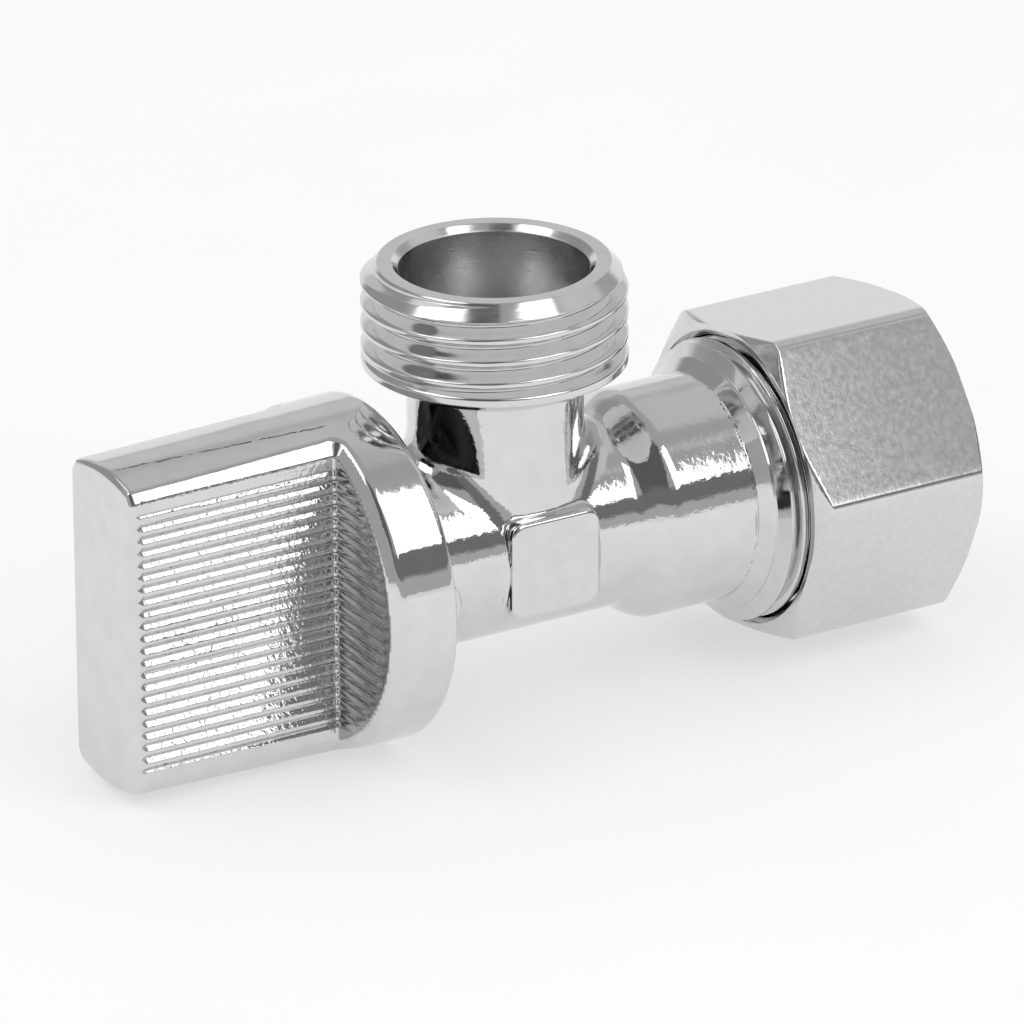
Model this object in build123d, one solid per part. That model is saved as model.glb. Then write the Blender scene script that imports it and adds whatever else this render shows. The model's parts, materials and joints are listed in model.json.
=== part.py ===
import os
from math import asin, degrees, pi, radians, sin, sqrt, tan

from build123d import *

# Quarter-turn angle valve for a basin supply. A tube enters along X, the outlet leaves along +Z, and the
# handle turns about X at the far end. Sizes are in millimetres. The pieces are modelled about the point
# where the two axes cross, and place() moves them so that the origin is the stop where the tube ends.

# Body: run, shoulder and inlet
run_r = 7.70
run_left_x = -13.70
shoulder_start_x = 8.60
shoulder_length = 3.70
shoulder_ease_in = 1.6
shoulder_ease_out = 2.2
inlet_r = 9.25
inlet_collar_x = 18.57
tube_r = 7.9375
tube_clearance = 0.0625
tube_stop_x = 14.0
inlet_end_x = 31.0
inlet_thread_r = 11.40
inlet_thread_pitch = 1.50
inlet_thread_depth = 0.92
inlet_thread_start = 0.35
thread_half_angle = 27.5
seat_half_angle = 30.0
seat_mouth_extra_r = 1.40
passage_r = 3.9

# Body: outlet neck and thread
outlet_thread_r = 10.4775
outlet_thread_pitch = 1.814
outlet_thread_depth = 1.16
outlet_top_z = 23.07
outlet_rim_outer_r = 9.17
outlet_rim_inner_r = 8.03
outlet_cup_r = 7.50
outlet_cup_floor_z = 15.0
outlet_thread_bottom_z = 14.9
outlet_thread_start = 0.70
outlet_collar_rise = 1.2
neck_r = 6.97
neck_bore_r = 4.70
neck_fillet = 2.4

# Body: raised flat on the front and stop lug
pad_size = 8.2
pad_center_x = 0.65
pad_face_y = -8.10
pad_corner_r = 1.3
pad_edge_r = 0.35
lug_r = 2.62
lug_center_x = -11.04
lug_top_r = 9.0
lug_angle = 187.0
lug_edge = 0.2

# Cartridge
cavity_r = 6.10
cavity_end_x = 5.0
cartridge_thread_r = 6.60
cartridge_thread_length = 4.6
cartridge_thread_end_gap = 0.2
fit_gap = 0.05
loose_gap = 0.10
gasket_thickness = 0.50
head_across_flats = 14.0
head_thickness = 1.0
housing_wall = 0.70
housing_end_gap = 0.4
window_width = 9.0
window_left_gap = 0.5
window_right_gap = 0.4
disc_thickness = 2.0
disc_key_depth = 0.45
disc_key_width = 1.8
disc_key_root = 0.1
base_seal_thickness = 2.4
base_seal_bore_r = 3.9
support_ring_wall = 0.45
support_ring_end_gap = 0.3
port_inner_r = 1.3
port_outer_r = 3.7
port_angle = 84.0
spindle_r = 3.30
spindle_collar_r = 4.60
spindle_collar_length = 1.0
slip_washer_thickness = 0.6
drive_width = 3.0
drive_depth = 0.9
drive_length = 2.3
drive_side_gap = 0.25
spindle_chamfer = 0.4
oring_section = 0.90
oring_groove_width = 1.3
oring_spacing = 2.6
oring_setback = 1.4
clip_thickness = 0.5
clip_groove_depth = 0.6
clip_reach = 1.1
clip_gap_angle = 70.0
spline_count = 16
spline_depth = 0.30
spline_length = 9.5
spline_gap = 0.3

# Handle
handle_end_x = -35.45
handle_skirt_x = -11.70
handle_step_x = -17.32
handle_skirt_r = 13.90
handle_taper = 0.57
handle_edge_r = 0.45
blade_half = 4.79
blade_edge_r = 0.65
rib_pitch = 1.015
rib_count = 22
groove_width = 0.76
groove_depth = 0.28
groove_rim_margin = 1.3
groove_start_margin = 0.45
recess_edge_r = 0.8
skirt_bore_r = 11.6
skirt_depth = 3.8
clip_recess_r = 5.0
clip_recess_depth = 0.7
quarter_turn = 90.0
stop_clearance_angle = 3.0
stop_rib_angle = 14.0
stop_rib_r = 8.9
stop_rib_recess = 0.6
stop_rib_root = 0.3
screw_r = 2.0
screw_length = 6.0
screw_chamfer = 0.3
screw_x = -22.0
screw_socket_across = 2.0
screw_socket_depth = 2.0
spindle_hole_end_gap = 0.5

# Compression nut and ferrule
nut_left_x = 21.35
nut_length = 16.2
nut_across_flats = 24.68
nut_turn = 7.05
nut_corner_r = 1.5
nut_chamfer_r = 12.5
nut_chamfer_angle = 30.0
nut_thread_gap = 0.12
nut_mouth_r = 11.95
nut_mouth_depth = 0.5
nut_tube_gap = 0.16
nut_shoulder_gap = 1.6
ferrule_wall = 1.30
ferrule_tip_wall = 0.30
ferrule_band = 1.6
seat_gap = 0.30

# How far a cutter runs past the face that it cuts through
cut_over = 1.0

# Sizes that follow from the ones above
tube_bore_r = tube_r + tube_clearance
seat_slope = tan(radians(seat_half_angle))
seat_start_x = inlet_end_x - seat_mouth_extra_r / seat_slope
seat_shift = seat_gap / sin(radians(seat_half_angle))
housing_r = cavity_r - loose_gap
housing_bore_r = housing_r - housing_wall
disc_r = housing_bore_r - fit_gap
seal_left_x = cavity_end_x - base_seal_thickness
fixed_disc_left_x = seal_left_x - disc_thickness
moving_disc_left_x = fixed_disc_left_x - disc_thickness
collar_left_x = moving_disc_left_x - drive_length - spindle_collar_length
housing_shoulder_x = collar_left_x - slip_washer_thickness
head_right_x = run_left_x - gasket_thickness
head_left_x = head_right_x - head_thickness
clip_right_x = head_left_x - fit_gap
handle_end_r = handle_skirt_r - handle_taper
skirt_floor_x = handle_skirt_x - skirt_depth
hub_floor_x = skirt_floor_x - clip_recess_depth
spline_right_x = hub_floor_x - spline_gap
spline_left_x = spline_right_x - spline_length
origin_shift = Pos(-tube_stop_x, 0, 0)


def turned(points):
    """A solid of revolution about X from (x, r) points."""
    outline = Plane.XY * make_face(Polyline(*points, close=True))
    return revolve(outline, Axis.X, 360)


def turned_z(points):
    """A solid of revolution about Z from (r, z) points."""
    outline = Plane.XZ * make_face(Polyline(*points, close=True))
    return revolve(outline, Axis.Z, 360)


def ring(x_left, x_right, r_inner, r_outer):
    """A flat ring about X."""
    return turned([(x_left, r_inner), (x_right, r_inner), (x_right, r_outer), (x_left, r_outer)])


def rod(x_left, x_right, radius):
    """A plain round bar about X."""
    return Pos(x_left, 0, 0) * Rot(0, 90, 0) * extrude(Circle(radius), x_right - x_left)


def sector(x_left, x_right, r_inner, r_outer, start, sweep_angle):
    """Part of a ring about X. The angle is measured from +Y towards +Z."""
    corners = [(x_left, r_inner), (x_right, r_inner), (x_right, r_outer), (x_left, r_outer)]
    outline = make_face(Polyline(*corners, close=True))
    return Rot(start, 0, 0) * revolve(outline, Axis.X, sweep_angle)


def run_blank():
    """Run, rounded shoulder and inlet barrel as one turned outline."""
    shoulder_end_x = shoulder_start_x + shoulder_length
    low = (shoulder_start_x, run_r)
    high = (shoulder_end_x, inlet_r)
    root_r = inlet_thread_r - inlet_thread_depth
    root_x = inlet_collar_x + root_r - inlet_r
    chamfer_x = inlet_end_x - inlet_thread_depth
    crest_x = root_x + inlet_thread_start
    outline = [
        Line((run_left_x, 0), (run_left_x, run_r)),
        Line((run_left_x, run_r), low),
        Bezier(low, (low[0] + shoulder_ease_in, run_r), (high[0] - shoulder_ease_out, inlet_r), high),
        Line(high, (inlet_collar_x, inlet_r)),
        Line((inlet_collar_x, inlet_r), (root_x, root_r)),
        Line((root_x, root_r), (crest_x, inlet_thread_r)),
        Line((crest_x, inlet_thread_r), (chamfer_x, inlet_thread_r)),
        Line((chamfer_x, inlet_thread_r), (inlet_end_x, root_r)),
        Line((inlet_end_x, root_r), (inlet_end_x, 0)),
        Line((inlet_end_x, 0), (run_left_x, 0)),
    ]
    blank = revolve(make_face(outline), Axis.X, 360)
    for groove in thread_grooves(crest_x, chamfer_x, inlet_thread_r, inlet_thread_pitch, inlet_thread_depth):
        blank -= turned(groove)
    return blank


def thread_grooves(start, end, crest_r, pitch, depth):
    """Outlines, as (place, r) points, of the turned grooves that stand for a thread between two places."""
    slope = tan(radians(thread_half_angle))
    half_root = (pitch / 2 - depth * slope) / 2
    half_mouth = half_root + depth * slope
    outer = half_mouth + cut_over * slope
    first = start + half_root + half_mouth
    count = int((end - first) / pitch) + 1
    grooves = []
    for k in range(count):
        middle = first + k * pitch
        grooves.append([
            (middle - outer, crest_r + cut_over), (middle - half_root, crest_r - depth),
            (middle + half_root, crest_r - depth), (middle + outer, crest_r + cut_over),
        ])
    return grooves


def outlet_head():
    """Outlet collar with its thread, the cone under it and the end chamfer."""
    root_r = outlet_thread_r - outlet_thread_depth
    chamfer_z = outlet_top_z - (outlet_thread_r - outlet_rim_outer_r)
    under_z = outlet_thread_bottom_z - outlet_thread_start
    head = turned_z([
        (0, under_z - outlet_collar_rise),
        (neck_r, under_z - outlet_collar_rise),
        (root_r, under_z),
        (outlet_thread_r, outlet_thread_bottom_z),
        (outlet_thread_r, chamfer_z),
        (outlet_rim_outer_r, outlet_top_z),
        (0, outlet_top_z),
    ])
    grooves = thread_grooves(
        outlet_thread_bottom_z, chamfer_z, outlet_thread_r, outlet_thread_pitch, outlet_thread_depth)
    for groove in grooves:
        head -= turned_z([(r, z) for z, r in groove])
    return head


def cast_blank():
    """Straight run and neck joined by the cast fillet."""
    straight = rod(run_left_x, shoulder_start_x + cut_over, run_r)
    neck = extrude(Circle(neck_r), outlet_thread_bottom_z - outlet_thread_depth)
    joined = straight + neck
    saddle = [
        e for e in joined.edges()
        if e.geom_type not in (GeomType.LINE, GeomType.CIRCLE) and e.center().Z > 0
    ]
    return fillet(saddle, neck_fillet)


def front_pad():
    """Raised flat with rounded corners on the front of the run."""
    outline = Plane.XZ * Pos(pad_center_x, 0) * RectangleRounded(pad_size, pad_size, pad_corner_r)
    pad = Pos(0, -pad_size / 2, 0) * extrude(outline, -pad_face_y - pad_size / 2)
    front = pad.faces().sort_by(Axis.Y)[0]
    return fillet(front.edges(), pad_edge_r)


def stop_lug():
    """Round lug on the run that stops the handle after a quarter turn."""
    lug = extrude(Circle(lug_r), lug_top_r)
    lug = chamfer(lug.edges().sort_by(Axis.Z)[-1], lug_edge)
    end_plane = Box(4 * lug_r, 4 * lug_r, 4 * lug_top_r)
    stood = Pos(lug_center_x, 0, 0) * Rot(lug_angle - 90, 0, 0) * lug
    return stood - Pos(run_left_x - 2 * lug_r, 0, 0) * end_plane


def water_ways():
    """Everything that is bored out of the casting."""
    seat_cone = turned([
        (seat_start_x, 0),
        (seat_start_x, tube_bore_r),
        (inlet_end_x, tube_bore_r + seat_mouth_extra_r),
        (inlet_end_x + cut_over, tube_bore_r + seat_mouth_extra_r),
        (inlet_end_x + cut_over, 0),
    ])
    chamfer_z = outlet_top_z - (outlet_rim_inner_r - outlet_cup_r)
    cup = turned_z([
        (0, 0),
        (neck_bore_r, 0),
        (neck_bore_r, outlet_cup_floor_z - (outlet_cup_r - neck_bore_r)),
        (outlet_cup_r, outlet_cup_floor_z),
        (outlet_cup_r, chamfer_z),
        (outlet_rim_inner_r, outlet_top_z),
        (outlet_rim_inner_r, outlet_top_z + cut_over),
        (0, outlet_top_z + cut_over),
    ])
    thread_end_x = run_left_x + cartridge_thread_length
    thread_hole = rod(run_left_x - cut_over, thread_end_x, cartridge_thread_r + fit_gap)
    return [
        rod(run_left_x - cut_over, cavity_end_x, cavity_r),
        thread_hole,
        rod(cavity_end_x - cut_over, tube_stop_x + cut_over, passage_r),
        rod(tube_stop_x, seat_start_x + fit_gap, tube_bore_r),
        seat_cone,
        cup,
    ]


def valve_body():
    body = cast_blank() + run_blank() + outlet_head() + front_pad() + stop_lug()
    for hole in water_ways():
        body -= hole
    return body


def base_seal():
    return ring(seal_left_x, cavity_end_x, base_seal_bore_r, disc_r)


def seal_support_ring():
    outer = base_seal_bore_r - fit_gap
    right_x = cavity_end_x - support_ring_end_gap
    return ring(seal_left_x + loose_gap, right_x, outer - support_ring_wall, outer)


def ports(x_left, x_right):
    """The two sector ports of a ceramic disc."""
    cuts = [
        sector(x_left, x_right, port_inner_r, port_outer_r, side - port_angle / 2, port_angle)
        for side in (90, 270)
    ]
    return cuts[0] + cuts[1]


def fixed_disc():
    disc = rod(fixed_disc_left_x, seal_left_x, disc_r)
    disc -= ports(fixed_disc_left_x - cut_over, seal_left_x + cut_over)
    key_x = (fixed_disc_left_x + seal_left_x) / 2
    for side in (-1, 1):
        notch = Box(disc_thickness, 2 * disc_key_depth, disc_key_width + 2 * fit_gap)
        disc -= Pos(key_x, side * (housing_bore_r + disc_key_root), 0) * notch
    return disc


def drive_bar():
    """Bar across the spindle's end that turns the moving disc by its slot."""
    x_right = moving_disc_left_x + drive_depth
    x_left = moving_disc_left_x - drive_length / 2
    bar = Pos((x_left + x_right) / 2, 0, 0) * Box(x_right - x_left, 2 * disc_r, drive_width)
    return bar & rod(x_left, x_right, disc_r - drive_side_gap)


def rotating_disc():
    disc = rod(moving_disc_left_x, fixed_disc_left_x, disc_r)
    slot = Pos(moving_disc_left_x + drive_depth / 2, 0, 0) * Box(
        drive_depth + 2 * fit_gap, 3 * disc_r, drive_width + 2 * fit_gap)
    return disc - ports(moving_disc_left_x - cut_over, fixed_disc_left_x + cut_over) - slot


def slip_washer():
    return ring(housing_shoulder_x, collar_left_x, spindle_r + fit_gap, spindle_collar_r)


def oring_centers():
    first = housing_shoulder_x - oring_setback
    return [first, first - oring_spacing]


def spindle_oring(x):
    """Rubber ring in its groove on the spindle."""
    radius = oring_section / 2
    ring_face = Pos(x, spindle_r - radius) * Circle(radius)
    return revolve(ring_face, Axis.X, 360)


def spline_grooves(radius, x_left, x_right):
    """Grooves between the spline teeth, cut in a bar of this radius."""
    width = pi * radius / spline_count
    cutter = Pos((x_left + x_right) / 2, 0, radius) * Box(x_right - x_left, width, 2 * spline_depth)
    return [Rot(k * 360 / spline_count, 0, 0) * cutter for k in range(spline_count)]


def spindle():
    shaft = rod(spline_left_x, moving_disc_left_x - drive_length / 2 + loose_gap, spindle_r)
    shaft = chamfer(shaft.edges().sort_by(Axis.X)[0], spindle_chamfer)
    shaft += rod(collar_left_x, collar_left_x + spindle_collar_length, spindle_collar_r)
    shaft += drive_bar()
    groove_half = oring_groove_width / 2
    for x in oring_centers():
        shaft -= ring(x - groove_half, x + groove_half, spindle_r - oring_section, 2 * spindle_r)
    clip_left_x = clip_right_x - clip_thickness - fit_gap
    shaft -= ring(clip_left_x, clip_right_x, spindle_r - clip_groove_depth, 2 * spindle_r)
    for groove in spline_grooves(spindle_r, spline_left_x - cut_over, spline_right_x):
        shaft -= groove
    return shaft


def spindle_clip():
    inner = spindle_r - clip_groove_depth + fit_gap
    sweep_angle = 360 - clip_gap_angle
    return sector(clip_right_x - clip_thickness, clip_right_x, inner, spindle_r + clip_reach, 0, sweep_angle)


def housing_gasket():
    return ring(head_right_x, run_left_x, cartridge_thread_r + 2 * fit_gap, run_r - loose_gap)


def cartridge_housing():
    """Screwed brass housing with a hexagon head, a spindle bore and two side windows."""
    end_x = cavity_end_x - housing_end_gap
    thread_end_x = run_left_x + cartridge_thread_length - cartridge_thread_end_gap
    head = Pos(head_left_x, 0, 0) * Rot(0, 90, 0) * extrude(
        RegularPolygon(head_across_flats / 2, 6, major_radius=False), head_thickness)
    threaded = rod(head_right_x - fit_gap, thread_end_x, cartridge_thread_r)
    barrel = rod(run_left_x, end_x, housing_r)
    housing = head + threaded + barrel
    housing -= rod(housing_shoulder_x, end_x + cut_over, housing_bore_r)
    housing -= rod(head_left_x - cut_over, housing_shoulder_x + cut_over, spindle_r + fit_gap)
    key_x = (fixed_disc_left_x + seal_left_x) / 2
    for side in (-1, 1):
        key = Box(disc_thickness, disc_key_depth, disc_key_width)
        housing += Pos(key_x, side * (housing_bore_r + disc_key_root - disc_key_depth / 2), 0) * key
    window_left_x = collar_left_x + window_left_gap
    window_right_x = fixed_disc_left_x - window_right_gap
    window = Pos((window_left_x + window_right_x) / 2, 0, 0) * Box(
        window_right_x - window_left_x, window_width, 4 * housing_r)
    return housing - window


def handle_turning():
    """Turned outside of the handle, tapered from the skirt to the end."""
    end_corners = [(handle_end_x, 0), (handle_end_x, handle_end_r)]
    skirt_corners = [(handle_skirt_x, handle_skirt_r), (handle_skirt_x, 0)]
    outline = make_face(Polyline(*end_corners, *skirt_corners, close=True))
    skirt_corner = outline.vertices().sort_by(Axis.Y)[-1]
    return revolve(fillet(skirt_corner, handle_edge_r), Axis.X, 360)


def handle_blank():
    """Handle with a recess on each side of the blade, and with soft edges round the recesses and the end."""
    blank = handle_turning()
    reach = 2 * handle_skirt_r
    left_x = handle_end_x - cut_over
    for side in (-1, 1):
        recess = Box(handle_step_x - left_x, reach, 2 * reach)
        blank -= Pos((handle_step_x + left_x) / 2, side * (blade_half + reach / 2), 0) * recess
    along_blade = blank.edges().filter_by(GeomType.HYPERBOLA)
    in_step_plane = blank.edges().filter_by_position(Axis.X, handle_step_x, handle_step_x)
    blank = fillet(along_blade + in_step_plane, recess_edge_r)
    end_face = blank.faces().sort_by(Axis.X)[0]
    return fillet(end_face.edges(), blade_edge_r)


def rib_grooves():
    """Grooves between the grip ribs: along the blade, through the root and out across the step."""
    half = groove_width / 2
    floor_start_x = handle_end_x + blade_edge_r + groove_start_margin
    rim_r = handle_skirt_r - groove_rim_margin
    root_x = handle_step_x - recess_edge_r / 2
    root = Box(recess_edge_r, recess_edge_r, groove_width)
    cuts = []
    for k in range(rib_count):
        z = (k - (rib_count - 1) / 2) * rib_pitch
        reach_y = sqrt(rim_r ** 2 - z ** 2)
        for side in (-1, 1):
            y = side * blade_half
            floor_v = make_face(Polyline(
                (y, z - half), (y - side * groove_depth, z), (y, z + half), close=True))
            run_length = handle_step_x + groove_depth - floor_start_x
            cuts.append(Pos(floor_start_x, 0, 0) * extrude(Plane.YZ * floor_v, run_length))
            wall_v = make_face(Polyline((handle_step_x, z - half), (handle_step_x + groove_depth, z),
                                        (handle_step_x, z + half), close=True))
            wall = extrude(Plane.XZ * wall_v, -side * (reach_y - blade_half + groove_depth))
            cuts.append(Pos(0, side * (blade_half - groove_depth), 0) * wall)
            cuts.append(Pos(root_x, side * (blade_half + recess_edge_r / 2), z) * root)
    return cuts


def stop_ribs():
    """Two ribs inside the skirt that meet the lug at either end of the quarter turn."""
    lug_half_angle = degrees(asin(lug_r / lug_top_r))
    offset = lug_half_angle + stop_clearance_angle
    upper = lug_angle + offset
    lower = lug_angle - quarter_turn - offset - stop_rib_angle
    ribs = [
        sector(skirt_floor_x - stop_rib_root, handle_skirt_x - stop_rib_recess, stop_rib_r,
               skirt_bore_r + stop_rib_root, start, stop_rib_angle)
        for start in (upper, lower)
    ]
    return ribs


def handle():
    solid = handle_blank() - Compound(rib_grooves())
    solid -= rod(skirt_floor_x, handle_skirt_x + cut_over, skirt_bore_r)
    for rib in stop_ribs():
        solid += rib
    solid -= rod(hub_floor_x, skirt_floor_x + cut_over, clip_recess_r)
    solid -= rod(spline_left_x - spindle_hole_end_gap, hub_floor_x + cut_over, spindle_r + fit_gap)
    screw_hole = extrude(Circle(screw_r + fit_gap), -handle_skirt_r - cut_over)
    solid -= Pos(screw_x, 0, 0) * screw_hole
    return solid


def handle_screw():
    """Grub screw with a hexagon socket, up against the spindle."""
    top_z = -(spindle_r + fit_gap)
    screw = Pos(screw_x, 0, top_z - screw_length / 2) * Cylinder(screw_r, screw_length)
    screw = chamfer(screw.edges().filter_by(GeomType.CIRCLE), screw_chamfer)
    socket = extrude(RegularPolygon(screw_socket_across / 2, 6, major_radius=False), screw_socket_depth)
    return screw - Pos(screw_x, 0, top_z - screw_length) * socket


def nut_blank():
    """Hexagon with rounded corners, chamfered at both ends by a cone."""
    outline = RegularPolygon(nut_across_flats / 2, 6, major_radius=False, rotation=180 / 6)
    outline = fillet(outline.vertices(), nut_corner_r)
    hexagon = Rot(-nut_turn, 0, 0) * Rot(0, 90, 0) * extrude(outline, nut_length)
    reach = nut_across_flats
    slope = tan(radians(nut_chamfer_angle)) * (reach - nut_chamfer_r)
    cone = turned([
        (0, 0), (0, nut_chamfer_r), (slope, reach), (nut_length - slope, reach), (nut_length, nut_chamfer_r),
        (nut_length, 0),
    ])
    return Pos(nut_left_x, 0, 0) * (hexagon & cone)


def compression_nut():
    bore_r = inlet_thread_r + nut_thread_gap
    nut_right_x = nut_left_x + nut_length
    hole_r = tube_bore_r + nut_tube_gap
    ferrule_r = tube_bore_r + ferrule_wall
    cone_start_x = ferrule_band_left_x() + ferrule_band + seat_shift
    shoulder_x = inlet_end_x + nut_shoulder_gap
    shoulder_r = ferrule_r + (cone_start_x - shoulder_x) * seat_slope
    cone_end_x = cone_start_x + (ferrule_r - hole_r) / seat_slope
    inside = turned([
        (nut_left_x - cut_over, 0),
        (nut_left_x - cut_over, nut_mouth_r),
        (nut_left_x, nut_mouth_r),
        (nut_left_x + nut_mouth_depth, bore_r),
        (shoulder_x, bore_r),
        (shoulder_x, shoulder_r),
        (cone_end_x, hole_r),
        (nut_right_x + cut_over, hole_r),
        (nut_right_x + cut_over, 0),
    ])
    return nut_blank() - inside


def ferrule_nose_x():
    """Where the ferrule's nose cone would meet the tube's bore radius."""
    return seat_start_x + seat_shift


def ferrule_band_left_x():
    return ferrule_nose_x() + ferrule_wall / seat_slope


def compression_ferrule():
    left_tip_x = ferrule_nose_x() + ferrule_tip_wall / seat_slope
    left_band_x = ferrule_band_left_x()
    right_band_x = left_band_x + ferrule_band
    right_tip_x = right_band_x + (ferrule_wall - ferrule_tip_wall) / seat_slope
    inner = tube_bore_r
    return turned([
        (left_tip_x, inner),
        (right_tip_x, inner),
        (right_tip_x, inner + ferrule_tip_wall),
        (right_band_x, inner + ferrule_wall),
        (left_band_x, inner + ferrule_wall),
        (left_tip_x, inner + ferrule_tip_wall),
    ])


def place(shape):
    """Moves a piece from the crossing of the axes to the row's origin at the tube stop."""
    return origin_shift * shape


def all_parts():
    outer_oring_x, inner_oring_x = oring_centers()[1], oring_centers()[0]
    return {
        "valve_body": valve_body(),
        "compression_nut": compression_nut(),
        "compression_ferrule": compression_ferrule(),
        "cartridge_housing": cartridge_housing(),
        "housing_gasket": housing_gasket(),
        "fixed_disc": fixed_disc(),
        "rotating_disc": rotating_disc(),
        "base_seal": base_seal(),
        "seal_support_ring": seal_support_ring(),
        "slip_washer": slip_washer(),
        "spindle": spindle(),
        "spindle_oring_outer": spindle_oring(outer_oring_x),
        "spindle_oring_inner": spindle_oring(inner_oring_x),
        "spindle_clip": spindle_clip(),
        "handle": handle(),
        "handle_screw": handle_screw(),
    }


os.makedirs("parts", exist_ok=True)
for node, shape in all_parts().items():
    export_step(place(shape), "parts/" + node + ".step")
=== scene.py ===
from math import acos, atan, ceil, cos, pi, radians, sin, tan

import bpy
import numpy as np
from mathutils import Matrix, Vector
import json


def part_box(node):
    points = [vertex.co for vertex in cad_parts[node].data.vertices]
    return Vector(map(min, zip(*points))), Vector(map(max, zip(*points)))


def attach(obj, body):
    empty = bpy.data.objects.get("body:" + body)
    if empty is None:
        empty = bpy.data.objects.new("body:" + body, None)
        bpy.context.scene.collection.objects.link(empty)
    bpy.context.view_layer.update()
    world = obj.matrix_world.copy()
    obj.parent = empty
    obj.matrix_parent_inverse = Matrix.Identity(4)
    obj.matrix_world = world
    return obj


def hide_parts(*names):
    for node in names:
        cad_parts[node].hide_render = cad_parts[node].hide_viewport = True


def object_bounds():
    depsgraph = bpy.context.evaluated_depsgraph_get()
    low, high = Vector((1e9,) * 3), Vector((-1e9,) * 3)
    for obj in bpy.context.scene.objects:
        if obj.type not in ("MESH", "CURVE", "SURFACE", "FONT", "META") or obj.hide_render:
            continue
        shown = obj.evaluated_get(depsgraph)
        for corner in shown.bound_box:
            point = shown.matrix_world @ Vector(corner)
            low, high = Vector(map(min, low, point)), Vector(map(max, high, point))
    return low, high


# A chrome quarter-turn angle valve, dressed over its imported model. Blender works in metres. Shapes are
# worked out in millimetres about the point where the axes of the inlet and the outlet cross.
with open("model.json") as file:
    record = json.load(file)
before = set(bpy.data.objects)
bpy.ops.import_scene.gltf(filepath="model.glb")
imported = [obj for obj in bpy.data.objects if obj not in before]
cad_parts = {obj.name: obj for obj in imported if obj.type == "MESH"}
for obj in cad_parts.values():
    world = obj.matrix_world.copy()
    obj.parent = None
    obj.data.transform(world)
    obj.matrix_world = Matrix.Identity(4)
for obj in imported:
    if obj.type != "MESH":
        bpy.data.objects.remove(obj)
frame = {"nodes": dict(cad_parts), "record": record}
cad_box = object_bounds()

MM = 0.001
mounts = {mount["name"]: mount for mount in frame["record"]["mounts"]}
crossing_x = mounts["outlet_thread"]["pos_m"][0] / MM
tube_bore_r = mounts["tube_socket"]["dims"]["r_mm"]
outlet_thread_r = mounts["outlet_thread"]["dims"]["r_mm"]


def span(node, axis):
    """Lowest and highest place of a CAD node along one axis, in millimetres about the crossing."""
    low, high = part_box(node)
    shift = crossing_x if axis == 0 else 0
    return low[axis] / MM - shift, high[axis] / MM - shift


# Casting: run, shoulder, inlet barrel and neck
run_r = 7.70
run_left_x = -13.70
shoulder_start_x = 8.40
shoulder_length = 3.50
inlet_r = 9.25
collar_x = 18.57
neck_r = 6.97
neck_top_z = 13.6
neck_fillet = 2.4
crease_fillet = 0.25
run_end_edge_r = 0.3
collar_edge_r = 0.12
spigot_overlap = 0.5
tube_stop_x = -crossing_x
neck_bore_r = 4.70
cavity_r = 6.10
cavity_end_x = 5.0
cartridge_thread_r = 6.65
cartridge_thread_length = 4.6
passage_r = 3.9
skin_gap = 0.05

# Raised flat and stop lug on the casting
pad_half = 4.1
pad_center_x = 0.65
pad_face_y = -8.10
pad_corner_r = 1.3
pad_edge_r = 0.45
lug_r = 2.62
lug_center_x = -11.04
lug_top_r = 9.0
lug_angle = radians(187)
lug_edge_r = 0.25

# Outlet head
outlet_pitch = 1.814
outlet_depth = 1.16
outlet_top_z = span("valve_body", 2)[1]
outlet_rim_outer_r = 9.17
outlet_rim_inner_r = 8.03
outlet_cup_r = 7.50
outlet_cup_floor_z = 15.0
outlet_crest_low_z = 14.9
outlet_thread_phase_z = 0.95
outlet_run_out_start = 0.5
outlet_run_out_length = 0.9
head_foot_z = 12.0

# Inlet spigot
inlet_thread_r = 11.40
inlet_pitch = 1.50
inlet_depth = 0.92
inlet_crest_share = 0.25
inlet_run_out_start = -0.3
inlet_run_out_length = 0.4
inlet_end_x = span("valve_body", 0)[1]
seat_slope = tan(radians(30))
seat_mouth_extra_r = 1.40
collar_groove_r = 9.05
collar_cone_end_x = 19.60
collar_cone_end_r = 10.15
collar_land_end_x = 19.80
inlet_flank_end_x = 20.40

# Handle
handle_end_x, handle_skirt_x = span("handle", 0)
handle_step_x = -17.32
handle_skirt_r = 13.89
handle_taper = 0.57
handle_end_r = handle_skirt_r - handle_taper
blade_half = 4.79
rib_pitch = 1.015
rib_count = 22
rib_center_z = 0.13
groove_half = 0.38
groove_depth = 0.28
wall_groove_depth = 0.20
groove_end_margin = 0.55
groove_end_fade = 0.45
groove_edge_margin = 1.05
groove_edge_fade = 1.2
recess_fillet = 0.3
bevel_near_end = 0.60
bevel_near_skirt = 0.85
bevel_field_scale = 0.6
bevel_outer_edge_r = 0.20
bevel_inner_edge_r = 0.13
blade_end_edge_r = 0.6
skirt_edge_r = 0.45
hole_edge_r = 0.2
seam_near_end_y = -1.0
seam_drift = -0.08
seam_half = 0.13
seam_waver = 0.10
skirt_bore_r = 11.6
skirt_depth = 3.8
skirt_floor_x = handle_skirt_x - skirt_depth
hub_recess_r = 5.0
hub_depth = 0.7
hub_floor_x = skirt_floor_x - hub_depth
spindle_bore_r = 3.35
spindle_bore_end_x = span("spindle", 0)[0] - 0.5
screw_bore_r = 2.05
screw_x = sum(span("handle_screw", 0)) / 2
stop_rib_inner_r = 8.9
stop_rib_half_angle = radians(7)
stop_rib_recess = 0.6
stop_rib_angles = (radians(213.9), radians(70.1))

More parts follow.
